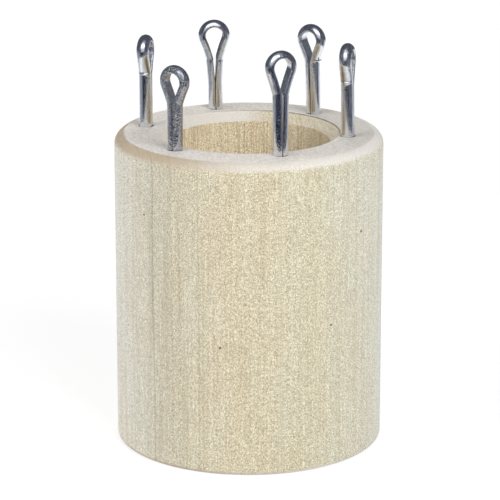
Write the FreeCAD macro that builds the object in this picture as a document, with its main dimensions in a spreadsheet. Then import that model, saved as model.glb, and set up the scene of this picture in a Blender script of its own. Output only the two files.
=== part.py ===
import FreeCAD, Part
import math
import os
import Sketcher

# An i-cord maker: a turned maple tube with six split pins driven eye-up into its top face.
# Millimetres and degrees. The tube stands on z = 0 with its bore on the Z axis, and the
# first pin lies towards +X. The pins are counted anticlockwise from above.

# Lengths
SIZES = {
    "bore_diameter": 32.6,
    "wall": 10.7,
    "body_height": 63.5,
    "top_round": 2.2,
    "bottom_round": 0.9,
    "bore_chamfer": 1.9,
    "bore_bottom_chamfer": 0.6,
    "wire_round_radius": 1.27,
    "wire_thickness": 1.44,
    "wire_corner_radius": 0.25,
    "leg_gap": 0.1,
    "eye_inside_radius": 1.78,
    "neck_bend_radius": 3.4,
    "pin_length": 33.6,
    "longer_leg": 1.5,
    "hole_clearance": 0.08,
    "room_below_pins": 0.8,
    "pins_from_bore": 4.4,
    "ring_shift_x": -0.62,
    "ring_shift_y": 0.4,
    # How far each pin stands out of the wood
    "stand_out_1": 18.8,
    "stand_out_2": 18.6,
    "stand_out_3": 18.6,
    "stand_out_4": 18.7,
    "stand_out_5": 16.85,
    "stand_out_6": 20.65,
    # From the middle of each pin's eye down to where its legs run straight
    "eye_to_neck_1": 5.4,
    "eye_to_neck_2": 5.0,
    "eye_to_neck_3": 5.4,
    "eye_to_neck_4": 5.2,
    "eye_to_neck_5": 5.0,
    "eye_to_neck_6": 5.8,
}

# Angles: where each pin's hole was drilled round the ring, how far its eye is twisted off
# the radius (anticlockwise is positive) and how far it leans towards lean_direction. The
# holes were drilled and the pins driven by hand, so no two pins are quite alike.
ANGLES = {
    "drill_point_angle": 118.0,
    "lean_direction": 192.0,
    "angle_1": 0.0,
    "angle_2": 60.0,
    "angle_3": 120.0,
    "angle_4": 180.0,
    "angle_5": 240.0,
    "angle_6": 300.8,
    "twist_1": -2.0,
    "twist_2": 7.0,
    "twist_3": -13.0,
    "twist_4": -1.5,
    "twist_5": 10.0,
    "twist_6": 4.0,
    "lean_1": 0.9,
    "lean_2": 1.9,
    "lean_3": 1.0,
    "lean_4": 0.0,
    "lean_5": 0.0,
    "lean_6": 0.0,
}

PINS = range(1, 7)

# What follows from the sizes, as expressions on the sheet
BORE_RADIUS = "Sizes.bore_diameter / 2"
OUTER_RADIUS = "(Sizes.bore_diameter / 2 + Sizes.wall)"
RING_RADIUS = "(Sizes.bore_diameter / 2 + Sizes.pins_from_bore)"
HOLE_DIAMETER = "2 * Sizes.wire_thickness + Sizes.leg_gap + Sizes.hole_clearance"
LEAST_STAND_OUT = "min(" + "; ".join(f"Sizes.stand_out_{number}" for number in PINS) + ")"
DEEPEST_PIN = f"Sizes.pin_length - {LEAST_STAND_OUT}"
EYE_CENTRE = "Sizes.pin_length - Sizes.wire_thickness - Sizes.eye_inside_radius"

# The drill is taken to start this far above the wood, so that a leaning hole opens fully
DRILL_START = 1.0

# How closely an edge is matched, as a length, and a pin's volume, as a share
SAME_LENGTH = 1e-4
SAME_VOLUME = 0.005

# Sketch elements: the sketch's own axes and the points of an element
HORIZONTAL_AXIS, VERTICAL_AXIS = range(-1, -3, -1)
START, END, CENTRE = range(1, 4)

doc = FreeCAD.newDocument("ICordMaker")


def fill_sheet():
    sheet = doc.addObject("Spreadsheet::Sheet", "Sizes")
    for row, (name, value) in enumerate({**SIZES, **ANGLES}.items(), start=1):
        sheet.set(f"A{row}", name.replace("_", " "))
        sheet.set(f"B{row}", str(value))
        sheet.setAlias(f"B{row}", name)
    doc.recompute()
    return sheet


def new_body(label):
    body = doc.addObject("PartDesign::Body", label)
    body.Label = label
    return body


def new_sketch(body, name, plane):
    sketch = body.newObject("Sketcher::SketchObject", name)
    origin_plane = [item for item in body.Origin.OriginFeatures if item.Role == plane][0]
    sketch.AttachmentSupport = [(origin_plane, "")]
    sketch.MapMode = "FlatFace"
    return sketch


def constrain(sketch, expression, *constraint):
    """Add a constraint; with an expression, the sheet drives it."""
    index = sketch.addConstraint(Sketcher.Constraint(*constraint))
    if expression:
        sketch.setExpression(f"Constraints[{index}]", expression)


def join_smoothly(sketch, elements):
    """Join elements end to start, each running on from the last without a corner."""
    for (first, first_end), (second, second_end) in elements:
        constrain(sketch, None, "Tangent", first, first_end, second, second_end)


def circle_at(sketch, radius_expression, start_radius):
    circle = Part.Circle(FreeCAD.Vector(0, 0, 0), FreeCAD.Vector(0, 0, 1), start_radius)
    index = sketch.addGeometry(circle, False)
    constrain(sketch, None, "Coincident", index, CENTRE, HORIZONTAL_AXIS, START)
    constrain(sketch, radius_expression, "Radius", index, start_radius)


def rim_edge(shape, radius, height):
    """The name of the round edge of this radius at this height."""
    for index, edge in enumerate(shape.Edges, start=1):
        if not isinstance(edge.Curve, Part.Circle):
            continue
        right_radius = abs(edge.Curve.Radius - radius) < SAME_LENGTH
        right_height = abs(edge.Curve.Center.z - height) < SAME_LENGTH
        if right_radius and right_height:
            return f"Edge{index}"
    raise ValueError(f"no round edge of radius {radius} at height {height}")


def ease_edge(body, kind, name, radius, height, size_expression):
    """Round (PartDesign::Fillet) or chamfer (PartDesign::Chamfer) one round edge."""
    base = body.Tip
    feature = body.newObject(kind, name)
    feature.Base = (base, [rim_edge(base.Shape, radius, height)])
    size = "Radius" if kind == "PartDesign::Fillet" else "Size"
    feature.setExpression(size, size_expression)
    doc.recompute()


def seat(number, along):
    """A frame on the axis of a pin's hole, as an expression: its origin lies `along` above
    the top face, measured on that axis, and its Z axis leans as the pin does."""
    angle = f"Sizes.angle_{number}"
    foot_x = f"Sizes.ring_shift_x + {RING_RADIUS} * cos({angle})"
    foot_y = f"Sizes.ring_shift_y + {RING_RADIUS} * sin({angle})"
    foot = f"vector({foot_x}; {foot_y}; Sizes.body_height)"
    hinge = "vector(-sin(Sizes.lean_direction); cos(Sizes.lean_direction); 0)"
    lean = f"rotation({hinge}; Sizes.lean_{number})"
    upright = "rotation(vector(0; 0; 1); 0)"
    return f"placement({foot}; {lean}) * placement(vector(0; 0; {along}); {upright})"


def make_wooden_body(sheet):
    body = new_body("wooden_body")
    bore = sheet.bore_diameter / 2
    outer = bore + sheet.wall
    ring = new_sketch(body, "tube_section", "XY_Plane")
    circle_at(ring, OUTER_RADIUS, outer)
    circle_at(ring, BORE_RADIUS, bore)
    tube = body.newObject("PartDesign::Pad", "tube")
    tube.Profile = ring
    tube.setExpression("Length", "Sizes.body_height")
    doc.recompute()
    height = sheet.body_height
    ease_edge(body, "PartDesign::Fillet", "outer_top_edge", outer, height, "Sizes.top_round")
    ease_edge(body, "PartDesign::Fillet", "outer_bottom_edge", outer, 0, "Sizes.bottom_round")
    ease_edge(body, "PartDesign::Chamfer", "bore_top_edge", bore, height, "Sizes.bore_chamfer")
    bottom_chamfer = "Sizes.bore_bottom_chamfer"
    ease_edge(body, "PartDesign::Chamfer", "bore_bottom_edge", bore, 0, bottom_chamfer)
    for number in PINS:
        drill_hole(body, sheet, number)
    return body


def drill_hole(body, sheet, number):
    """Drill one pin's blind hole, on the axis that its pin will stand on."""
    solid_volume = body.Shape.Volume
    mark = new_sketch(body, f"hole_mark_{number}", "XY_Plane")
    mark.setExpression("AttachmentOffset", seat(number, DRILL_START))
    radius = (2 * sheet.wire_thickness + sheet.leg_gap + sheet.hole_clearance) / 2
    circle_at(mark, f"({HOLE_DIAMETER}) / 2", radius)
    doc.recompute()
    hole = body.newObject("PartDesign::Hole", f"pin_hole_{number}")
    hole.Profile = mark
    doc.recompute()
    hole.DepthType = "Dimension"
    hole.DrillPoint = "Angled"
    hole.setExpression("DrillPointAngle", "Sizes.drill_point_angle")
    hole.setExpression("Diameter", HOLE_DIAMETER)
    hole.setExpression("Depth", f"{DEEPEST_PIN} + Sizes.room_below_pins + {DRILL_START}")
    doc.recompute()
    drilled = math.pi * radius ** 2 * (sheet.pin_length - sheet.get(f"stand_out_{number}"))
    if solid_volume - body.Shape.Volume < drilled:
        raise ValueError(f"hole {number} is not as deep as its pin")


def draw_wire_section(body, sheet):
    """The half-round wire cut across, where the shorter leg ends: its flat faces the other
    leg, and both corners of the flat are rounded."""
    section = new_sketch(body, "wire_section", "XY_Plane")
    section.setExpression("AttachmentOffset.Base.z", "Sizes.longer_leg")
    flat = -sheet.leg_gap / 2
    corner = sheet.wire_corner_radius
    big = sheet.wire_round_radius
    big_centre = flat - (sheet.wire_thickness - big)
    corner_x = flat - corner
    corner_y = math.sqrt((big - corner) ** 2 - (big_centre - corner_x) ** 2)
    turn = math.atan2(corner_y, corner_x - big_centre)
    up = FreeCAD.Vector(0, 0, 1)

    def arc(x, y, radius, first, last):
        circle = Part.Circle(FreeCAD.Vector(x, y, 0), up, radius)
        return section.addGeometry(Part.ArcOfCircle(circle, first, last), False)

    lower = FreeCAD.Vector(flat, -corner_y, 0)
    upper = FreeCAD.Vector(flat, corner_y, 0)
    flat_line = section.addGeometry(Part.LineSegment(lower, upper), False)
    upper_corner = arc(corner_x, corner_y, corner, 0, turn)
    round_side = arc(big_centre, 0, big, turn, 2 * math.pi - turn)
    lower_corner = arc(corner_x, -corner_y, corner, 2 * math.pi - turn, 2 * math.pi)
    join_smoothly(section, [
        ((flat_line, END), (upper_corner, START)),
        ((upper_corner, END), (round_side, START)),
        ((round_side, END), (lower_corner, START)),
        ((lower_corner, END), (flat_line, START)),
    ])
    origin = (HORIZONTAL_AXIS, START)
    constrain(section, None, "Vertical", flat_line)
    constrain(section, None, "PointOnObject", round_side, CENTRE, HORIZONTAL_AXIS)
    constrain(section, "-Sizes.leg_gap / 2", "DistanceX", *origin, flat_line, START, flat)
    centre_from_flat = "Sizes.wire_thickness - Sizes.wire_round_radius"
    round_centre = f"-Sizes.leg_gap / 2 - ({centre_from_flat})"
    constrain(section, round_centre, "DistanceX", *origin, round_side, CENTRE, big_centre)
    constrain(section, "Sizes.wire_round_radius", "Radius", round_side, big)
    constrain(section, "Sizes.wire_corner_radius", "Radius", upper_corner, corner)
    constrain(section, "Sizes.wire_corner_radius", "Radius", lower_corner, corner)
    return section


def draw_wire_route(body, sheet, number):
    """The line that the flat of the wire follows: up one leg, out at the neck, round the
    eye and down the other leg. It stands in the XZ plane."""
    route = new_sketch(body, "wire_route", "XZ_Plane")
    gap = sheet.leg_gap / 2
    eye = sheet.eye_inside_radius
    bend = sheet.neck_bend_radius
    eye_z = sheet.pin_length - sheet.wire_thickness - eye
    eye_to_neck = sheet.get(f"eye_to_neck_{number}")
    neck_z = eye_z - eye_to_neck
    # The flank of the eye touches the circle of the eye and that of the neck on opposite
    # sides, and this is its angle to the vertical.
    between = math.hypot(gap + bend, eye_to_neck)
    flank = math.asin((eye + bend) / between) - math.atan2(gap + bend, eye_to_neck)
    out_of_page = FreeCAD.Vector(0, 0, 1)

    def line(*ends):
        first, last = [FreeCAD.Vector(x, z, 0) for x, z in ends]
        return route.addGeometry(Part.LineSegment(first, last), False)

    def arc(x, z, radius, first, last):
        circle = Part.Circle(FreeCAD.Vector(x, z, 0), out_of_page, radius)
        return route.addGeometry(Part.ArcOfCircle(circle, first, last), False)

    bend_x = gap + bend * (1 - math.cos(flank))
    bend_z = neck_z + bend * math.sin(flank)
    eye_x = eye * math.cos(flank)
    eye_low = eye_z - eye * math.sin(flank)
    left_leg = line((-gap, sheet.longer_leg), (-gap, neck_z))
    left_neck = arc(-gap - bend, neck_z, bend, 0, flank)
    left_flank = line((-bend_x, bend_z), (-eye_x, eye_low))
    eye_arc = arc(0, eye_z, eye, -flank, math.pi + flank)
    right_flank = line((eye_x, eye_low), (bend_x, bend_z))
    right_neck = arc(gap + bend, neck_z, bend, math.pi - flank, math.pi)
    right_leg = line((gap, neck_z), (gap, 0))
    join_smoothly(route, [
        ((left_leg, END), (left_neck, START)),
        ((left_neck, END), (left_flank, START)),
        ((left_flank, END), (eye_arc, END)),
        ((eye_arc, START), (right_flank, START)),
        ((right_flank, END), (right_neck, START)),
        ((right_neck, END), (right_leg, START)),
    ])
    origin = (HORIZONTAL_AXIS, START)
    half_gap = "Sizes.leg_gap / 2"
    constrain(route, None, "Vertical", left_leg)
    constrain(route, None, "Vertical", right_leg)
    constrain(route, None, "PointOnObject", eye_arc, CENTRE, VERTICAL_AXIS)
    constrain(route, None, "PointOnObject", right_leg, END, HORIZONTAL_AXIS)
    constrain(route, f"-{half_gap}", "DistanceX", *origin, left_leg, START, -gap)
    constrain(route, half_gap, "DistanceX", *origin, right_leg, START, gap)
    short_end = "Sizes.longer_leg"
    constrain(route, short_end, "DistanceY", *origin, left_leg, START, sheet.longer_leg)
    constrain(route, EYE_CENTRE, "DistanceY", *origin, eye_arc, CENTRE, eye_z)
    constrain(route, "Sizes.eye_inside_radius", "Radius", eye_arc, eye)
    neck_height = f"{EYE_CENTRE} - Sizes.eye_to_neck_{number}"
    for neck in (left_neck, right_neck):
        constrain(route, neck_height, "DistanceY", *origin, neck, CENTRE, neck_z)
        constrain(route, "Sizes.neck_bend_radius", "Radius", neck, bend)
    return route


def check_wire(body, section, route):
    """The pin's volume is its section times the length of the line through the middle of
    the wire, which is longer than the flat's line round the eye and shorter at the necks."""
    face = Part.Face(section.Shape)
    middle = abs(face.CenterOfMass.x - section.Shape.BoundBox.XMax)
    length = 0
    for edge in route.Shape.Edges:
        if isinstance(edge.Curve, Part.Circle):
            is_eye = abs(edge.Curve.Center.x) < SAME_LENGTH
            outward = middle if is_eye else -middle
            length += edge.Length * (edge.Curve.Radius + outward) / edge.Curve.Radius
        else:
            length += edge.Length
    expected = face.Area * length
    if abs(body.Shape.Volume / expected - 1) > SAME_VOLUME:
        raise ValueError(f"{body.Label}: {body.Shape.Volume} mm3, not {expected}")


def make_split_pin(sheet, number):
    body = new_body(f"split_pin_{number}")
    section = draw_wire_section(body, sheet)
    route = draw_wire_route(body, sheet, number)
    doc.recompute()
    wire = body.newObject("PartDesign::AdditivePipe", "folded_wire")
    wire.Profile = section
    wire.Spine = route
    turned = f"Sizes.angle_{number} + Sizes.twist_{number} - 90"
    upright = f"placement(vector(0; 0; 0); rotation(vector(0; 0; 1); {turned}))"
    tip = f"Sizes.stand_out_{number} - Sizes.pin_length"
    body.setExpression("Placement", f"{seat(number, tip)} * {upright}")
    doc.recompute()
    check_wire(body, section, route)
    return body


def check_document():
    for item in doc.Objects:
        if "Invalid" in item.State or "Error" in item.State:
            raise ValueError(f"{item.Name}: {item.State}")


def write_part(body):
    shape = body.Shape
    if shape.isNull() or not shape.isValid() or len(shape.Solids) != 1:
        raise ValueError(f"{body.Label} is not one sound solid")
    shape.exportStep(f"parts/{body.Label}.step")
    box = shape.optimalBoundingBox()
    size = f"{box.XLength:.2f} x {box.YLength:.2f} x {box.ZLength:.2f}"
    print(f"{body.Label}: {size} mm, {shape.Volume:.1f} mm3")


sizes = fill_sheet()
pieces = [make_wooden_body(sizes)]
for pin_number in PINS:
    pieces.append(make_split_pin(sizes, pin_number))
check_document()
os.makedirs("parts", exist_ok=True)
for piece in pieces:
    write_part(piece)
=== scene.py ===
import bpy
import math
from mathutils import Matrix, Vector


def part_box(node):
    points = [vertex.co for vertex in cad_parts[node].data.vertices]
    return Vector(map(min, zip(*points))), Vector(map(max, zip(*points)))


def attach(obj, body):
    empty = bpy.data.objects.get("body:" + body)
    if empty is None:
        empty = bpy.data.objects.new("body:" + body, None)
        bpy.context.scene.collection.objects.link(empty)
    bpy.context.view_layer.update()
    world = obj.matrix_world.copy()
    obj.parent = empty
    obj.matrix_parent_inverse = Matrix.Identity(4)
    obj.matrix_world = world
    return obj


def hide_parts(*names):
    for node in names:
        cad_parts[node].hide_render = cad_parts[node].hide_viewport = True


# An i-cord maker: a turned tube of bare maple with six zinc-plated split pins in its top.
# Sizes are in millimetres and angles in degrees. MM turns a size into Blender's metres.
# Angles round the tube are counted anticlockwise from above, from the first pin (+X).
MM = 0.001

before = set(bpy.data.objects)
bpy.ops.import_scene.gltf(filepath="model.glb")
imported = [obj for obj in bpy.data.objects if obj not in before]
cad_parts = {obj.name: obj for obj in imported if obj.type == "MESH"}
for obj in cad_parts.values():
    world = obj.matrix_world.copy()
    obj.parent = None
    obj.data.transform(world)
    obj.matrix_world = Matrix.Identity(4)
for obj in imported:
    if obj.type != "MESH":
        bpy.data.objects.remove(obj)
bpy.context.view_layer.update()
scene = bpy.context.scene
scene.view_settings.view_transform = "Standard"

# What the frame gives
TUBE_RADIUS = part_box("wooden_body")[1].x / MM
TUBE_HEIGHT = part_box("wooden_body")[1].z / MM

# Camera, fitted to the outline of the tube and to the feet of the pins
PICTURE_PIXELS = 500
FOCAL_PIXELS = 2813.6
AXIS_PIXEL = 248.88
CAMERA_ANGLE = -77.96
CAMERA_DISTANCE = 548.2
CAMERA_HEIGHT = 199.1
CAMERA_PITCH = 16.31
SENSOR_WIDTH = 36.0

# The folded wire, and how each pin stands: the same sizes as the CAD solids
BORE_RADIUS = 16.3
PINS_FROM_BORE = 4.4
RING_SHIFT = (-0.62, 0.4)
ROUND_RADIUS = 1.27
THICKNESS = 1.44
CORNER_RADIUS = 0.25
LEG_GAP = 0.1
EYE_RADIUS = 1.78
NECK_BEND = 3.4
PIN_LENGTH = 33.6
EYE_HEIGHT = PIN_LENGTH - THICKNESS - EYE_RADIUS
LONGER_LEG = 1.5
LEAN_DIRECTION = 192.0
PINS = {
    1: {"angle": 0.0, "stands": 18.8, "twist": -2.0, "lean": 0.9, "neck": 5.4},
    2: {"angle": 60.0, "stands": 18.6, "twist": 7.0, "lean": 1.9, "neck": 5.0},
    3: {"angle": 120.0, "stands": 18.6, "twist": -13.0, "lean": 1.0, "neck": 5.4},
    4: {"angle": 180.0, "stands": 18.7, "twist": -1.5, "lean": 0.0, "neck": 5.2},
    5: {"angle": 240.0, "stands": 16.85, "twist": 10.0, "lean": 0.0, "neck": 5.0},
    6: {"angle": 300.8, "stands": 20.65, "twist": 4.0, "lean": 0.0, "neck": 5.8},
}

# Marks of the folding die: on which leg (-1 the shorter, 1 the longer) a ledge was left, how
# far above the neck it is and how deep
LEDGES = {
    1: (1, 1.5, 0.22),
    2: (1, 1.3, 0.12),
    4: (-1, 1.05, 0.28),
}
LEDGE_LENGTH = 0.16
LEDGE_LIP = 0.07
LEDGE_LIP_LENGTH = 0.3
LEDGE_FADE = 2.6

# Where the legs part below the neck, as a thin wedge: how far each leg stands off at the neck,
# and how far down the wedge goes. It ends above the wood, where each pin has its solid's own
# size. Above the neck the legs come back to the eye's own shape.
WEDGES = {
    1: (0.06, 10.0),
    2: (0.12, 10.0),
    3: (0.28, 4.0),
    4: (0.06, 10.0),
    5: (0.14, 8.4),
    6: (0.18, 11.4),
}
WEDGE_FADE = 3.0

# A burr of wire that stands out of the back of one pin's longer leg, with its slope in degrees
SPUR_PIN = 2
SPUR_ABOVE_NECK = 0.65
SPUR_LENGTH = 0.85
SPUR_SLOPE = 24.0
SPUR_WIDTH = 0.5
SPUR_THICKNESS = 0.2
SPUR_ROOT = 0.3
SPUR_TAPER = 0.7

# How rough each pin's plating is: the share of its surface's mottling that shows
PLATING_MOTTLE = {1: 0.35, 2: 0.15, 3: 0.12, 4: 0.25, 5: 1.0, 6: 0.3}

# The grain: the rings lie square to RING_TURN and the rays run along RAY_TURN
RING_TURN = 25.5
RAY_TURN = 21.0
# The colour of the wood by its distance from the axis across the rings. The pale tones at both ends
# are painted glancing sheen on the tube's left and right outline edges.
RING_AND_EDGE_SHEEN_TONES = (
    (-27.0, (220, 215, 200)),
    (-22.0, (203, 195, 173)),
    (-10.0, (213, 202, 174)),
    (6.0, (210, 202, 175)),
    (17.0, (213, 207, 186)),
    (27.0, (226, 224, 210)),
)
# Growth ring lines: distance from the axis across the rings, half width, darkness
RING_LINES = (
    (-26.5, 0.16, 0.15),
    (-22.75, 0.17, 0.52),
    (-19.8, 0.2, 0.14),
    (-18.6, 0.22, 0.14),
    (-15.4, 0.25, 0.22),
    (-10.7, 0.25, 0.14),
    (-7.1, 0.2, 0.14),
    (-4.6, 0.16, 0.14),
    (0.4, 0.18, 0.2),
    (5.7, 0.2, 0.12),
    (12.8, 0.25, 0.1),
    (16.5, 0.2, 0.16),
    (18.6, 0.14, 0.2),
    (23.6, 0.2, 0.16),
)
# Small dark specks in the wood: angle round the tube, height, radius. SPECK_CORE is the share
# of the radius that is fully dark.
SPECKS = (
    (-23.1, 47.1, 0.4),
    (-41.3, 29.7, 0.32),
    (-90.0, 26.5, 0.32),
    (-155.3, 20.6, 0.38),
    (-127.5, 51.0, 0.28),
    (35.0, 38.0, 0.24),
    (98.0, 22.0, 0.26),
    (140.0, 47.0, 0.22),
)
SPECK_CORE = 0.4

# The circle where the bore's chamfer meets the flat, and the side where its line is darkest
BORE_EDGE = 18.2
EDGE_LINE_TURN = 58.0
# The direction across the bore towards the side where its wall and chamfer carry painted shade
BORE_SHADE_TURN = 12.0

# Grains of the wood: their size across the rings, along them and up the tube. The flecks are
# measured along the rays, across them and up the tube.
BAND_GRAIN = (0.9, 9.0, 60.0)
CLOUD_GRAIN = (5.0, 9.0, 22.0)
HAIRLINE_GRAIN = (0.3, 5.0, 30.0)
FIBRE_GRAIN = (0.14, 0.14, 3.0)
PORE_GRAIN = (0.1, 0.1, 0.24)
FLECK_GRAIN = (3.2, 0.14, 0.26)
VESSEL_GRAIN = (0.4, 0.4, 0.9)
# How far each grain swings the wood's red, green and blue
BAND_DEPTH = (0.05, 0.06, 0.08)
CLOUD_DEPTH = (0.01, 0.04, 0.07)
HAIRLINE_DEPTH = (0.07, 0.09, 0.13)
CUT_HAIRLINE_DEPTH = (0.16, 0.18, 0.22)
FIBRE_DEPTH = (0.09, 0.095, 0.11)
PORE_DEPTH = (0.6, 0.63, 0.76)
OPEN_PORE_DEPTH = (0.12, 0.12, 0.12)
RIM_PORE_DEPTH = (0.4, 0.42, 0.48)
FLECK_DEPTH = (0.11, 0.115, 0.13)
VESSEL_DEPTH = (0.22, 0.22, 0.22)
# What the wood's colour is multiplied by on the bore's wall (warmer, and brighter as painted
# light), on its darker side (painted shade), on the half of its chamfer in painted shade and on the
# outer round's left and front (painted shade)
BORE_WARMTH_AND_PAINTED_LIGHT = (1.2, 1.14, 1.1)
BORE_PAINTED_SHADE = (0.7, 0.67, 0.6)
SHADED_CHAMFER_TAN = (1.06, 1.02, 1.0)
ROUND_PAINTED_SHADE = (0.9, 0.89, 0.87)
# Other colours of the wood
RING_LINE_TONE = (146, 128, 100)
# Pale greyish end grain; its paleness is painted glancing light
END_GRAIN_SHEEN_TONE = (239, 234, 228)
# The grey of the flat's right side
RIGHT_FLAT_GREY_TONE = (190, 184, 176)
# The darker tan of the outer round's left and its ring lines: painted shade
RIM_SHADE_TONE = (182, 158, 122)
RIM_SHADE_LINE_TONE = (134, 110, 80)
EDGE_LINE_TONE = (118, 102, 80)
SPECK_TONE = (62, 44, 28)

# Colours of the plating: its bright part, its duller clouds and the dark between its crystals
PLATE_TONE = (243, 245, 250)
PLATE_CLOUD_TONE = (214, 220, 231)
PLATE_DARK_TONE = (98, 101, 116)

# The studio
FLOOR_RADIUS = 4000
FLOOR_SIDES = 96
LAMP_DISTANCE = 700
LAMP_SIZE = 400
CARD_STEPS = 24
# A card that lies on the floor and turns up at its far end, as (distance, height)
DRAPE = ((110, 1), (420, 1), (420, 38))


def colour(red, green, blue):
    """A display colour (0 to 255), in the linear values that nodes take."""
    def linear(value):
        share = value / 255
        return share / 12.92 if share <= 0.04045 else ((share + 0.055) / 1.055) ** 2.4
    return (linear(red), linear(green), linear(blue), 1.0)


def around(angle, distance, height=0.0):
    """A point beside the tube, in metres: its angle round the axis, distance and height."""
    turn = math.radians(angle)
    return Vector((distance * math.cos(turn), distance * math.sin(turn), height)) * MM


class Nodes:
    """A node tree, with short calls for what the finishes here are made of."""

    def __init__(self, tree):
        self.tree = tree

    def add(self, kind, inputs=(), **settings):
        node = self.tree.nodes.new(kind)
        for name, value in settings.items():
            setattr(node, name, value)
        for socket, value in dict(inputs).items():
            self.feed(node.inputs[socket], value)
        return node

    def feed(self, socket, value):
        if isinstance(value, bpy.types.NodeSocket):
            self.tree.links.new(value, socket)
        else:
            socket.default_value = value

    def math(self, operation, first, second=0.0, clamp=False):
        inputs = {0: first, 1: second}
        node = self.add("ShaderNodeMath", inputs, operation=operation, use_clamp=clamp)
        return node.outputs[0]

    def vector(self, operation, first, second=(0.0, 0.0, 0.0)):
        return self.add("ShaderNodeVectorMath", {0: first, 1: second}, operation=operation)

    def ease(self, value, low, high, to_low=0.0, to_high=1.0):
        """Bring a value from the range low to high onto another, with soft ends."""
        inputs = {
            "Value": value,
            "From Min": low,
            "From Max": high,
            "To Min": to_low,
            "To Max": to_high,
        }
        return self.add("ShaderNodeMapRange", inputs, interpolation_type="SMOOTHSTEP").outputs[0]

    def noise(self, place, detail=2.0):
        inputs = {"Vector": place, "Scale": 1.0, "Detail": detail, "Roughness": 0.5}
        return self.add("ShaderNodeTexNoise", inputs).outputs["Fac"]

    def blend(self, share, first, second):
        inputs = {"Factor": share, "A": first, "B": second}
        node = self.add("ShaderNodeMix", data_type="RGBA", blend_type="MIX", clamp_factor=True)
        for name, value in inputs.items():
            matching = [item for item in node.inputs if item.name == name and item.enabled]
            self.feed(matching[0], value)
        return [item for item in node.outputs if item.enabled][0]

    def toned(self, tone, mask, depth):
        """Lighten a colour where the mask is 1 and darken it as much where the mask is 0, by
        a depth for red, green and blue."""
        middle = tuple(1 - each / 2 for each in depth)
        inputs = {0: mask, 1: depth, 2: middle}
        swing = self.add("ShaderNodeVectorMath", inputs, operation="MULTIPLY_ADD").outputs["Vector"]
        return self.vector("MULTIPLY", tone, swing).outputs["Vector"]

    def stretched(self, place, size):
        """A place measured in grains of this size along each axis."""
        return self.vector("DIVIDE", place, size).outputs["Vector"]

    def axis(self, vector, letter):
        return self.add("ShaderNodeSeparateXYZ", {0: vector}).outputs[letter]

    def group(self, tree, inputs):
        node = self.add("ShaderNodeGroup", node_tree=tree)
        for name, value in inputs.items():
            self.feed(node.inputs[name], value)
        return node.outputs


def new_group(name, inputs, outputs):
    """A shader node group with these sockets, each given as name: kind."""
    tree = bpy.data.node_groups.new(name, "ShaderNodeTree")
    for socket, kind in inputs.items():
        tree.interface.new_socket(socket, in_out="INPUT", socket_type=kind)
    for socket, kind in outputs.items():
        tree.interface.new_socket(socket, in_out="OUTPUT", socket_type=kind)
    nodes = Nodes(tree)
    return tree, nodes, nodes.add("NodeGroupInput").outputs, nodes.add("NodeGroupOutput").inputs


def make_mottle_group():
    """Soft-edged spots of one size: grains of wood, or the crystals of the plating."""
    inputs = {
        "Place": "NodeSocketVector",
        "Grain": "NodeSocketVector",
        "Low": "NodeSocketFloat",
        "High": "NodeSocketFloat",
        "Detail": "NodeSocketFloat",
    }
    tree, nodes, given, out = new_group("mottle", inputs, {"Mask": "NodeSocketFloat"})
    spots = nodes.noise(nodes.stretched(given["Place"], given["Grain"]), given["Detail"])
    nodes.feed(out["Mask"], nodes.ease(spots, given["Low"], given["High"]))
    return tree


MOTTLE = make_mottle_group()


def empty_material(name):
    """A material with nothing in its node tree yet."""
    material = bpy.data.materials.new(name)
    material.use_nodes = True
    material.node_tree.nodes.clear()
    return material, Nodes(material.node_tree)


def new_material(name):
    """A material with one Principled surface."""
    material, nodes = empty_material(name)
    surface = nodes.add("ShaderNodeBsdfPrincipled")
    output = nodes.add("ShaderNodeOutputMaterial")
    nodes.feed(output.inputs["Surface"], surface.outputs["BSDF"])
    return material, nodes, surface


def place_in_mm(nodes, turn=0.0):
    """Where a point of the surface is, in millimetres, on axes turned about the tube's axis."""
    here = nodes.add("ShaderNodeTexCoord").outputs["Object"]
    inputs = {"Vector": here, "Rotation": (0, 0, math.radians(-turn)), "Scale": (1 / MM,) * 3}
    return nodes.add("ShaderNodeMapping", inputs).outputs["Vector"]


def mottle(nodes, place, grain, low, high, detail=0.0):
    inputs = {"Place": place, "Grain": grain, "Low": low, "High": high, "Detail": detail}
    return nodes.group(MOTTLE, inputs)["Mask"]


def ring_darkness(nodes, across, fade):
    """The dark line at the end of each year's growth, one mask for them all."""
    total = 0.0
    for centre, half_width, darkness in RING_LINES:
        off = nodes.math("ABSOLUTE", nodes.math("SUBTRACT", across, centre))
        line = nodes.ease(off, half_width, 0.0, 0.0, darkness)
        total = nodes.math("ADD", line, total)
    return nodes.math("MULTIPLY", total, fade, clamp=True)


def speck_darkness(nodes, place):
    total = 0.0
    for angle, height, radius in SPECKS:
        centre = around(angle, TUBE_RADIUS, height) / MM
        off = nodes.vector("DISTANCE", place, centre).outputs["Value"]
        total = nodes.math("ADD", nodes.ease(off, radius, radius * SPECK_CORE), total)
    return total


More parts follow.
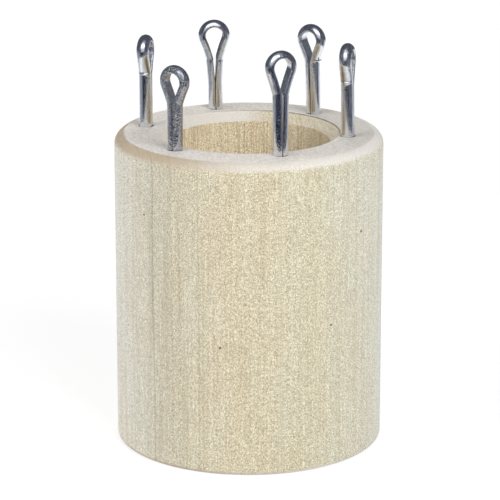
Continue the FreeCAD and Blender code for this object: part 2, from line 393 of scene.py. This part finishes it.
def make_bare_maple():
    material, nodes, surface = new_material("bare_maple")
    place = place_in_mm(nodes)
    along_rays = place_in_mm(nodes, RAY_TURN)
    grain = place_in_mm(nodes, RING_TURN)
    level = nodes.vector("MULTIPLY", place, (1, 1, 0)).outputs["Vector"]
    radius = nodes.vector("LENGTH", level).outputs["Value"]
    height = nodes.axis(place, "Z")
    facing = nodes.add("ShaderNodeNewGeometry").outputs["Normal"]
    upward = nodes.math("ABSOLUTE", nodes.axis(facing, "Z"))

    # The rings wander a little along the tube
    wander = nodes.noise(nodes.stretched(grain, (14.0, 10.0, 45.0)), detail=1.0)
    across = nodes.axis(grain, "X")
    across = nodes.math("ADD", across, nodes.ease(wander, 0.25, 0.75, -0.12, 0.12))

    # The colour drifts across the rings, from greyish pink through tan to a yellower cream. Its
    # pale ends are painted sheen on the outline edges.
    drift = nodes.add("ShaderNodeValToRGB")
    share = nodes.math("DIVIDE", nodes.math("ADD", across, TUBE_RADIUS), 2 * TUBE_RADIUS)
    nodes.feed(drift.inputs["Fac"], share)
    ramp = drift.color_ramp
    while len(ramp.elements) < len(RING_AND_EDGE_SHEEN_TONES):
        ramp.elements.new(0.5)
    for element, (centre, tone) in zip(ramp.elements, RING_AND_EDGE_SHEEN_TONES):
        element.position = (centre + TUBE_RADIUS) / (2 * TUBE_RADIUS)
        element.color = colour(*tone)
    wood = drift.outputs["Color"]

    # Bands of slightly darker and pinker wood within a year, drawn out along the fibres
    bands = mottle(nodes, grain, BAND_GRAIN, 0.3, 0.7, 2.0)
    wood = nodes.toned(wood, bands, BAND_DEPTH)
    clouds = mottle(nodes, grain, CLOUD_GRAIN, 0.35, 0.65, 2.0)
    wood = nodes.toned(wood, clouds, CLOUD_DEPTH)

    fade = nodes.ease(nodes.noise(nodes.stretched(grain, (3.0, 6.0, 16.0))), 0.3, 0.6, 0.4, 1.0)
    rings = ring_darkness(nodes, across, fade)
    wood = nodes.blend(rings, wood, colour(*RING_LINE_TONE))

    # Hairlines and fibres along the tube, and the fine pores between them
    hairlines = mottle(nodes, grain, HAIRLINE_GRAIN, 0.36, 0.56, 1.0)
    wood = nodes.toned(wood, hairlines, HAIRLINE_DEPTH)
    fibres = mottle(nodes, grain, FIBRE_GRAIN, 0.42, 0.58)
    wood = nodes.toned(wood, fibres, FIBRE_DEPTH)
    pores = mottle(nodes, grain, PORE_GRAIN, 0.45, 0.55)
    wood = nodes.toned(wood, pores, PORE_DEPTH)

    # Ray flecks: thin sheets that run across the rings. A cut along them shows broad pale
    # flecks and a cut across them shows short upright dashes.
    bends = nodes.noise(nodes.stretched(along_rays, (2.0, 2.0, 2.0)))
    waver = nodes.vector("MULTIPLY", bends, (0, 0.4, 0.7)).outputs["Vector"]
    rays = nodes.vector("ADD", along_rays, waver).outputs["Vector"]
    flecks = mottle(nodes, rays, FLECK_GRAIN, 0.44, 0.56)
    wood = nodes.toned(wood, flecks, FLECK_DEPTH)

    # Inside the bore the wood is warmer, and brighter as painted light. One side of the bore's wall
    # is darkened as painted shade, and on that half the chamfer keeps a tan instead of the pale end
    # grain, also as painted shade.
    inside = nodes.ease(radius, BORE_EDGE + 0.1, BORE_EDGE - 0.05)
    bored = nodes.math("MULTIPLY", inside, nodes.ease(upward, 0.4, 0.1))
    # The bore's wall is painted warmer and brighter; the brightening is painted light
    warm_lit_bore = nodes.vector("MULTIPLY", wood, BORE_WARMTH_AND_PAINTED_LIGHT).outputs["Vector"]
    warm_lit_bore = nodes.toned(warm_lit_bore, hairlines, CUT_HAIRLINE_DEPTH)
    wood = nodes.blend(bored, wood, warm_lit_bore)
    # The bore's wall is painted darker on one side, as painted shade
    across_bore = nodes.axis(place_in_mm(nodes, BORE_SHADE_TURN), "X")
    shaded_bore = nodes.vector("MULTIPLY", wood, BORE_PAINTED_SHADE).outputs["Vector"]
    bore_shade_share = nodes.math("MULTIPLY", bored, nodes.ease(across_bore, 6.0, 16.0))
    wood = nodes.blend(bore_shade_share, wood, shaded_bore)
    # On the same side the chamfer keeps the side's tan instead of the pale end grain: painted shade
    shaded_chamfer = nodes.math("MULTIPLY", inside, nodes.ease(across_bore, -2.0, 5.0))
    tan = nodes.vector("MULTIPLY", wood, SHADED_CHAMFER_TAN).outputs["Vector"]
    wood = nodes.blend(nodes.math("MULTIPLY", shaded_chamfer, nodes.ease(upward, 0.2, 0.5)), wood, tan)

    # End grain is greyer, and coarser in the flat than in the turned edges; its paleness on the
    # upward-facing surfaces is painted glancing light
    unshaded_share = nodes.math("SUBTRACT", 1.0, nodes.math("MULTIPLY", shaded_chamfer, 0.95))
    pale_sheen_share = nodes.math("MULTIPLY", nodes.ease(upward, 0.12, 0.6), unshaded_share)
    grain_and_sheen = nodes.blend(0.78, wood, colour(*END_GRAIN_SHEEN_TONE))
    grain_and_sheen = nodes.toned(grain_and_sheen, pores, OPEN_PORE_DEPTH)
    vessels = mottle(nodes, place, VESSEL_GRAIN, 0.4, 0.6, 2.0)
    flat = nodes.ease(upward, 0.97, 0.999)
    pitted = nodes.toned(grain_and_sheen, vessels, VESSEL_DEPTH)
    grain_and_sheen = nodes.blend(flat, grain_and_sheen, pitted)
    # The flat is greyer and darker towards its right side
    greyer_right = nodes.math("MULTIPLY", flat, nodes.ease(across, 13.0, 22.0, 0.0, 0.45))
    grain_and_sheen = nodes.blend(greyer_right, grain_and_sheen, colour(*RIGHT_FLAT_GREY_TONE))
    wood = nodes.blend(pale_sheen_share, wood, grain_and_sheen)

    # On the left of the turned edge the wood is painted a darker tan as painted shade, with its
    # ring lines, hairlines and pores kept
    slope = nodes.math("MULTIPLY", nodes.ease(upward, 0.02, 0.6), nodes.ease(upward, 0.999, 0.97))
    outside = nodes.ease(radius, 21.0, 23.0)
    rim_shade_share = nodes.math("MULTIPLY", slope, nodes.ease(across, -4.0, -22.0, 0.0, 0.68))
    rim_shade_share = nodes.math("MULTIPLY", rim_shade_share, outside)
    rim_in_shade = nodes.toned(colour(*RIM_SHADE_TONE)[:3], hairlines, CUT_HAIRLINE_DEPTH)
    rim_in_shade = nodes.toned(rim_in_shade, pores, RIM_PORE_DEPTH)
    wood = nodes.blend(rim_shade_share, wood, rim_in_shade)
    rim_shade_lines = nodes.math("MULTIPLY", rim_shade_share, rings)
    wood = nodes.blend(rim_shade_lines, wood, colour(*RIM_SHADE_LINE_TONE))
    # The outer round is painted darker towards its left and front, as painted shade
    round_shade_share = nodes.math("MULTIPLY", slope, nodes.ease(across, 9.0, -3.0))
    darkened_round = nodes.vector("MULTIPLY", wood, ROUND_PAINTED_SHADE).outputs["Vector"]
    wood = nodes.blend(nodes.math("MULTIPLY", round_shade_share, outside), wood, darkened_round)

    # A thin dark line where the chamfer meets the flat, strongest on the right
    off_edge = nodes.math("ABSOLUTE", nodes.math("SUBTRACT", radius, BORE_EDGE))
    line = nodes.math("MULTIPLY", nodes.ease(off_edge, 0.19, 0.05), nodes.ease(height, 50.0, 60.0))
    far_side = nodes.axis(place_in_mm(nodes, EDGE_LINE_TURN), "X")
    broken = nodes.ease(nodes.noise(nodes.stretched(place, (0.8, 0.8, 0.8))), 0.3, 0.6, 0.5, 1.0)
    strength = nodes.math("MULTIPLY", nodes.ease(far_side, 2.0, 18.0), broken)
    line = nodes.math("MULTIPLY", line, strength)
    wood = nodes.blend(line, wood, colour(*EDGE_LINE_TONE))

    wood = nodes.blend(speck_darkness(nodes, place), wood, colour(*SPECK_TONE))
    nodes.feed(surface.inputs["Base Color"], wood)

    roughness = nodes.math("SUBTRACT", 0.62, nodes.math("MULTIPLY", flecks, 0.14))
    nodes.feed(surface.inputs["Roughness"], roughness)
    surface.inputs["Specular IOR Level"].default_value = 0.35
    relief = nodes.math("SUBTRACT", flecks, nodes.math("ADD", fibres, pores))
    bump = {"Height": relief, "Strength": 0.25, "Distance": 0.03 * MM}
    nodes.feed(surface.inputs["Normal"], nodes.add("ShaderNodeBump", bump).outputs["Normal"])
    return material


def make_zinc_plate(number):
    """Bright zinc plate, mottled more on one pin than on another."""
    material, nodes, surface = new_material(f"zinc_plate_{number}")
    place = place_in_mm(nodes)
    crystals = mottle(nodes, place, (0.16, 0.16, 0.24), 0.4, 0.66)
    clouds = mottle(nodes, place, (1.6, 1.6, 3.0), 0.35, 0.7)
    share = PLATING_MOTTLE[number]
    dull = nodes.math("MULTIPLY", clouds, 0.4)
    plate = nodes.blend(dull, colour(*PLATE_TONE), colour(*PLATE_CLOUD_TONE))
    between = nodes.math("SUBTRACT", 1.0, crystals)
    dark = nodes.math("MULTIPLY", between, share * 0.55)
    plate = nodes.blend(dark, plate, colour(*PLATE_DARK_TONE))
    nodes.feed(surface.inputs["Base Color"], plate)
    surface.inputs["Metallic"].default_value = 1.0
    roughness = nodes.math("ADD", nodes.math("MULTIPLY", crystals, share * 0.14), 0.1)
    nodes.feed(surface.inputs["Roughness"], roughness)
    bump = {"Height": crystals, "Strength": share, "Distance": 0.06 * MM}
    nodes.feed(surface.inputs["Normal"], nodes.add("ShaderNodeBump", bump).outputs["Normal"])
    return material


def wire_section():
    """The half-round wire cut across, as (out from the flat, across) points: the flat, its
    rounded corners and the round back."""
    centre = THICKNESS - ROUND_RADIUS
    inner = ROUND_RADIUS - CORNER_RADIUS
    corner_across = math.sqrt(inner ** 2 - (CORNER_RADIUS - centre) ** 2)
    turn = math.atan2(corner_across, centre - CORNER_RADIUS)
    points = []
    flat_steps = 6
    for step in range(1, flat_steps):
        points.append((0.0, corner_across * (1 - 2 * step / flat_steps)))
    corner_steps = 7
    for step in range(corner_steps + 1):
        angle = math.pi + turn * step / corner_steps
        points.append((
            CORNER_RADIUS + CORNER_RADIUS * math.cos(angle),
            -corner_across + CORNER_RADIUS * math.sin(angle),
        ))
    back_steps = 40
    for step in range(1, back_steps):
        angle = -(math.pi - turn) + 2 * (math.pi - turn) * step / back_steps
        points.append((
            centre + ROUND_RADIUS * math.cos(angle),
            ROUND_RADIUS * math.sin(angle),
        ))
    for step in range(corner_steps + 1):
        angle = math.pi - turn + turn * step / corner_steps
        points.append((
            CORNER_RADIUS + CORNER_RADIUS * math.cos(angle),
            corner_across + CORNER_RADIUS * math.sin(angle),
        ))
    return points


def wire_route(eye_to_neck):
    """The line that the flat of the wire follows, as stations (x, z, outward x, outward z,
    height above the neck, leg). The pin stands on its longer leg's tip, with its eye up."""
    gap = LEG_GAP / 2
    eye_z = EYE_HEIGHT
    neck_z = eye_z - eye_to_neck
    between = math.hypot(gap + NECK_BEND, eye_to_neck)
    flank = math.asin((EYE_RADIUS + NECK_BEND) / between) - math.atan2(gap + NECK_BEND, eye_to_neck)

    def half(leg, foot):
        """One leg from its foot up to the top of the eye, but without the top itself."""
        rows = []
        leg_steps = 60
        for step in range(leg_steps):
            rows.append((leg * gap, foot + (neck_z - foot) * step / leg_steps, leg, 0.0))
        bend_steps = 24
        for step in range(bend_steps):
            turn = flank * step / bend_steps
            x = gap + NECK_BEND * (1 - math.cos(turn))
            z = neck_z + NECK_BEND * math.sin(turn)
            rows.append((leg * x, z, leg * math.cos(turn), -math.sin(turn)))
        low_x = gap + NECK_BEND * (1 - math.cos(flank))
        low_z = neck_z + NECK_BEND * math.sin(flank)
        high_x = EYE_RADIUS * math.cos(flank)
        high_z = eye_z - EYE_RADIUS * math.sin(flank)
        flank_steps = 50
        for step in range(flank_steps):
            share = step / flank_steps
            x = low_x + (high_x - low_x) * share
            z = low_z + (high_z - low_z) * share
            rows.append((leg * x, z, leg * math.cos(flank), -math.sin(flank)))
        eye_steps = 44
        for step in range(eye_steps):
            turn = -flank + (math.pi / 2 + flank) * step / eye_steps
            outward_x = leg * math.cos(turn)
            outward_z = math.sin(turn)
            z = eye_z + EYE_RADIUS * outward_z
            rows.append((EYE_RADIUS * outward_x, z, outward_x, outward_z))
        return [row + (row[1] - neck_z, leg) for row in rows]

    stations = half(-1, LONGER_LEG)
    stations.append((0.0, eye_z + EYE_RADIUS, 0.0, 1.0, eye_z + EYE_RADIUS - neck_z, 0))
    stations += reversed(half(1, 0.0))
    return stations


def ledge_depth(number, above_neck, leg):
    """How far the die pressed the back of the wire in at this station; a lip stands out."""
    if number not in LEDGES or LEDGES[number][0] != leg:
        return 0.0
    start, depth = LEDGES[number][1:]
    above = above_neck - start
    if above < -LEDGE_LIP_LENGTH or above > LEDGE_FADE:
        return 0.0
    if above < 0:
        return -LEDGE_LIP * (1 + above / LEDGE_LIP_LENGTH) ** 2
    if above < LEDGE_LENGTH:
        return -LEDGE_LIP + (depth + LEDGE_LIP) * above / LEDGE_LENGTH
    return depth * (1 - (above - LEDGE_LENGTH) / (LEDGE_FADE - LEDGE_LENGTH)) ** 1.5


def wedge_width(number, above_neck):
    """How far this station of a leg stands off from where the closed legs would be."""
    widest, length = WEDGES[number]
    reach = WEDGE_FADE if above_neck > 0 else length
    return widest * max(0.0, 1 - abs(above_neck) / reach)


def pin_matrix(pin):
    """From a pin's own axes, in millimetres, to the frame's metres."""
    ring = BORE_RADIUS + PINS_FROM_BORE
    foot = around(pin["angle"], ring, TUBE_HEIGHT) + Vector((*RING_SHIFT, 0)) * MM
    turn = math.radians(LEAN_DIRECTION)
    hinge = Vector((-math.sin(turn), math.cos(turn), 0))
    lean = Matrix.Rotation(math.radians(pin["lean"]), 4, hinge)
    sink = Matrix.Translation((0, 0, (pin["stands"] - PIN_LENGTH) * MM))
    twist = Matrix.Rotation(math.radians(pin["angle"] + pin["twist"] - 90), 4, "Z")
    return Matrix.Translation(foot) @ lean @ sink @ twist @ Matrix.Scale(MM, 4)


def add_object(name, points, faces):
    """An object of its own in the scene, with these points and faces."""
    mesh = bpy.data.meshes.new(name)
    mesh.from_pydata(points, [], faces)
    made = bpy.data.objects.new(name, mesh)
    scene.collection.objects.link(made)
    return made


def add_spur(points, faces, place, neck):
    """A thin flat burr, rooted in the back of the longer leg just above the neck."""
    slope = math.radians(SPUR_SLOPE)
    along = Vector((math.cos(slope), 0, math.sin(slope)))
    upward = Vector((-math.sin(slope), 0, math.cos(slope))) * SPUR_THICKNESS / 2
    across = Vector((0, 1, 0)) * SPUR_WIDTH / 2
    back = Vector((LEG_GAP / 2 + THICKNESS, 0, EYE_HEIGHT - neck + SPUR_ABOVE_NECK))
    first = len(points)
    for reach, size in ((-SPUR_ROOT, 1.0), (SPUR_LENGTH, SPUR_TAPER)):
        for side, lift in ((-1, -1), (1, -1), (1, 1), (-1, 1)):
            corner = back + along * reach + (across * side + upward * lift) * size
            points.append(place @ corner)
    root = [first, first + 1, first + 2, first + 3]
    tip = [corner + 4 for corner in root]
    faces.append(tuple(reversed(root)))
    faces.append(tuple(tip))
    for index in range(4):
        after = (index + 1) % 4
        faces.append((root[index], root[after], tip[after], tip[index]))


def make_split_pin(number):
    pin = PINS[number]
    section = wire_section()
    place = pin_matrix(pin)
    points = []
    for x, z, out_x, out_z, above_neck, leg in wire_route(pin["neck"]):
        pressed = ledge_depth(number, above_neck, leg)
        x += leg * wedge_width(number, above_neck)
        for out, across in section:
            out -= pressed * max(0.0, out / THICKNESS) ** 2
            points.append(place @ Vector((x + out * out_x, across, z + out * out_z)))
    count = len(section)
    rows = len(points) // count
    faces = []
    for row in range(rows - 1):
        for index in range(count):
            after = (index + 1) % count
            low, high = row * count, (row + 1) * count
            faces.append((low + index, low + after, high + after, high + index))
    rounded = len(faces)
    faces.append(tuple(reversed(range(count))))
    faces.append(tuple(range((rows - 1) * count, rows * count)))
    if number == SPUR_PIN:
        add_spur(points, faces, place, pin["neck"])
    piece = add_object(f"split_pin_{number}_wire", points, faces)
    smooth = [index < rounded for index in range(len(faces))]
    piece.data.polygons.foreach_set("use_smooth", smooth)
    piece.data.update()
    piece.data.materials.append(make_zinc_plate(number))
    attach(piece, "root")
    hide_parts(f"split_pin_{number}")


def make_camera():
    camera = bpy.data.objects.new("camera", bpy.data.cameras.new("camera"))
    scene.collection.objects.link(camera)
    scene.camera = camera
    camera.location = around(CAMERA_ANGLE, CAMERA_DISTANCE, CAMERA_HEIGHT)
    inward = around(CAMERA_ANGLE + 180, 1)
    drop = Vector((0, 0, -math.tan(math.radians(CAMERA_PITCH)))) * MM
    camera.rotation_mode = "QUATERNION"
    camera.rotation_quaternion = (inward + drop).to_track_quat("-Z", "Y")
    camera.data.sensor_width = SENSOR_WIDTH
    camera.data.lens = FOCAL_PIXELS * SENSOR_WIDTH / PICTURE_PIXELS
    camera.data.shift_x = (PICTURE_PIXELS / 2 - AXIS_PIXEL) / PICTURE_PIXELS
    camera.data.clip_start = 10 * MM


def seen_as_background(nodes):
    """1 where the camera sees the stage, also mirrored, and 0 where the stage gives light."""
    path = nodes.add("ShaderNodeLightPath").outputs
    mirrored = nodes.math("ADD", path["Is Glossy Ray"], path["Is Transmission Ray"])
    return nodes.math("ADD", path["Is Camera Ray"], mirrored, clamp=True)


def make_world():
    world = bpy.data.worlds.new("studio")
    scene.world = world
    world.use_nodes = True
    world.node_tree.nodes.clear()
    nodes = Nodes(world.node_tree)
    light = nodes.add("ShaderNodeBackground", {"Color": colour(250, 251, 255), "Strength": 0.3})
    white = nodes.add("ShaderNodeBackground", {"Color": (1, 1, 1, 1), "Strength": 1.0})
    inputs = {0: seen_as_background(nodes), 1: light.outputs[0], 2: white.outputs[0]}
    mixed = nodes.add("ShaderNodeMixShader", inputs)
    nodes.add("ShaderNodeOutputWorld", {"Surface": mixed.outputs[0]})


def make_floor():
    """A pale sheet that reads as white and still holds a faint shadow."""
    rim = [around(step * 360 / FLOOR_SIDES, FLOOR_RADIUS) for step in range(FLOOR_SIDES)]
    floor = add_object("floor", rim, [tuple(range(FLOOR_SIDES))])
    material, nodes = empty_material("floor_sheet")
    plain = nodes.add("ShaderNodeBsdfDiffuse", {"Color": (0.8, 0.8, 0.8, 1)})
    shaded = nodes.add("ShaderNodeBsdfDiffuse", {"Color": (0.36, 0.36, 0.36, 1)})
    glow = nodes.add("ShaderNodeEmission", {"Color": (1, 1, 1, 1), "Strength": 0.72})
    white = nodes.add("ShaderNodeAddShader", {0: shaded.outputs[0], 1: glow.outputs[0]})
    inputs = {0: seen_as_background(nodes), 1: plain.outputs[0], 2: white.outputs[0]}
    mixed = nodes.add("ShaderNodeMixShader", inputs)
    nodes.add("ShaderNodeOutputMaterial", {"Surface": mixed.outputs[0]})
    floor.data.materials.append(material)


def make_card(name, tone, from_angle, to_angle, profile, strength=1.0):
    """A bent studio card that is only seen mirrored. The angles are counted from the camera's
    side, to the right, and the profile is a list of (distance, height)."""
    points = []
    for step in range(CARD_STEPS + 1):
        angle = CAMERA_ANGLE + from_angle + (to_angle - from_angle) * step / CARD_STEPS
        for distance, height in profile:
            points.append(around(angle, distance, height))
    count = len(profile)
    faces = []
    for step in range(CARD_STEPS):
        for index in range(count - 1):
            low, high = step * count + index, (step + 1) * count + index
            faces.append((low, high, high + 1, low + 1))
    card = add_object(name, points, faces)
    material, nodes = empty_material(name)
    glow = nodes.add("ShaderNodeEmission", {"Color": colour(*tone), "Strength": strength})
    nodes.add("ShaderNodeOutputMaterial", {"Surface": glow.outputs[0]})
    card.data.materials.append(material)
    card.visible_camera = False
    card.visible_diffuse = False
    card.visible_transmission = False
    card.visible_shadow = False


def make_lamp(name, side, elevation, watts):
    """A soft square white lamp that faces the tube. Its side is counted from the camera's, to
    the right."""
    data = bpy.data.lights.new(name, "AREA")
    data.shape = "SQUARE"
    data.size = LAMP_SIZE * MM
    data.energy = watts
    lamp = bpy.data.objects.new(name, data)
    scene.collection.objects.link(lamp)
    level = math.radians(elevation)
    target = Vector((0, 0, TUBE_HEIGHT / 2)) * MM
    flat = LAMP_DISTANCE * math.cos(level)
    lamp.location = around(CAMERA_ANGLE + side, flat, LAMP_DISTANCE * math.sin(level)) + target
    lamp.rotation_mode = "QUATERNION"
    lamp.rotation_quaternion = (target - lamp.location).to_track_quat("-Z", "Y")
    lamp.visible_glossy = False


maple = make_bare_maple()
for material_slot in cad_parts["wooden_body"].material_slots:
    material_slot.material = maple
for pin_number in PINS:
    make_split_pin(pin_number)

make_camera()
make_world()
make_floor()
make_card("tent", (84, 86, 97), -180, 180, ((440, 1), (440, 420), (250, 600), (1, 640)))
make_card("front_drape", (32, 36, 54), -58, 36, DRAPE)
make_card("front_gap", (124, 128, 138), 36, 60, DRAPE)
make_card("left_drape", (150, 156, 163), -122, -58, DRAPE)
make_card("right_drape", (60, 64, 76), 60, 86, DRAPE)
make_card("right_pale", (176, 180, 186), 86, 118, DRAPE)
make_card("edge_drape", (30, 32, 36), 164, 196, ((110, 1), (420, 1), (420, 150)))
make_card("front_grey", (104, 106, 114), -62, 62, ((421, 38), (421, 118)))
make_card("softbox_skirt", (214, 216, 221), -36, 22, ((419, 118), (419, 285)))
make_card("softbox", (255, 255, 255), -40, 32, ((418, 285), (250, 508)), 2.0)
make_card("softbox_top", (190, 192, 196), -50, 50, ((249, 508), (60, 600)))
make_card("back_grey", (100, 104, 108), 100, 260, ((421, 150), (421, 285)))
make_card("back_dark", (66, 70, 74), 100, 260, ((420, 285), (420, 470)))
make_lamp("key", 32, 33, 3.2)
make_lamp("left_wall", -90, 8, 1.8)
make_lamp("left_high", -60, 45, 1.2)
make_lamp("back", 180, 35, 1.2)
